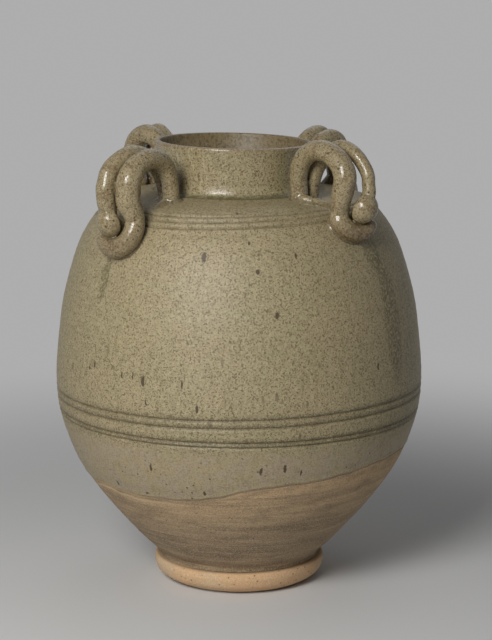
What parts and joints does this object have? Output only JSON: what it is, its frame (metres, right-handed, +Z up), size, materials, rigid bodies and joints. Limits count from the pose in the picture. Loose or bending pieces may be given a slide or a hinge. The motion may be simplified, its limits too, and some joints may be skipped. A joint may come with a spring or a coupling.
{
  "type": "four-handled storage jar",
  "caption": "Glazed stoneware storage jar with a round belly, a short wide neck, a turned foot and double-coil loop handles on its shoulder.",
  "frame": {"origin": "centre of the underside of the foot, on the ground", "axes": "+Z up along the jar's axis; +X towards the handle that the picture shows at the front right, -Y towards the one at the front left"},
  "size_m": [0.2566, 0.2566, 0.3175],
  "materials": {
    "foot_clay": "bare tan stoneware, matt",
    "lower_body_glaze": "olive crackled glaze above a wavy edge, bare brown clay below it",
    "upper_body_glaze": "olive crackled glaze, glossy",
    "neck_glaze": "olive glaze that thins to brown on the lip, glossy",
    "handle_glaze": "olive glaze with brown mottling, glossy",
    "knob_glaze": "olive glaze with brown mottling, glossy"
  },
  "bodies": {
    "root": {"foot": "foot_clay", "lower_body": "lower_body_glaze", "upper_body": "upper_body_glaze", "neck": "neck_glaze", "front_left_hook_strand": "handle_glaze", "front_left_knob_strand": "handle_glaze", "front_left_knob": "knob_glaze", "front_right_hook_strand": "handle_glaze", "front_right_knob_strand": "handle_glaze", "front_right_knob": "knob_glaze", "back_left_hook_strand": "handle_glaze", "back_left_knob_strand": "handle_glaze", "back_left_knob": "knob_glaze", "back_right_hook_strand": "handle_glaze", "back_right_knob_strand": "handle_glaze", "back_right_knob": "knob_glaze"}
  },
  "joints": []
}
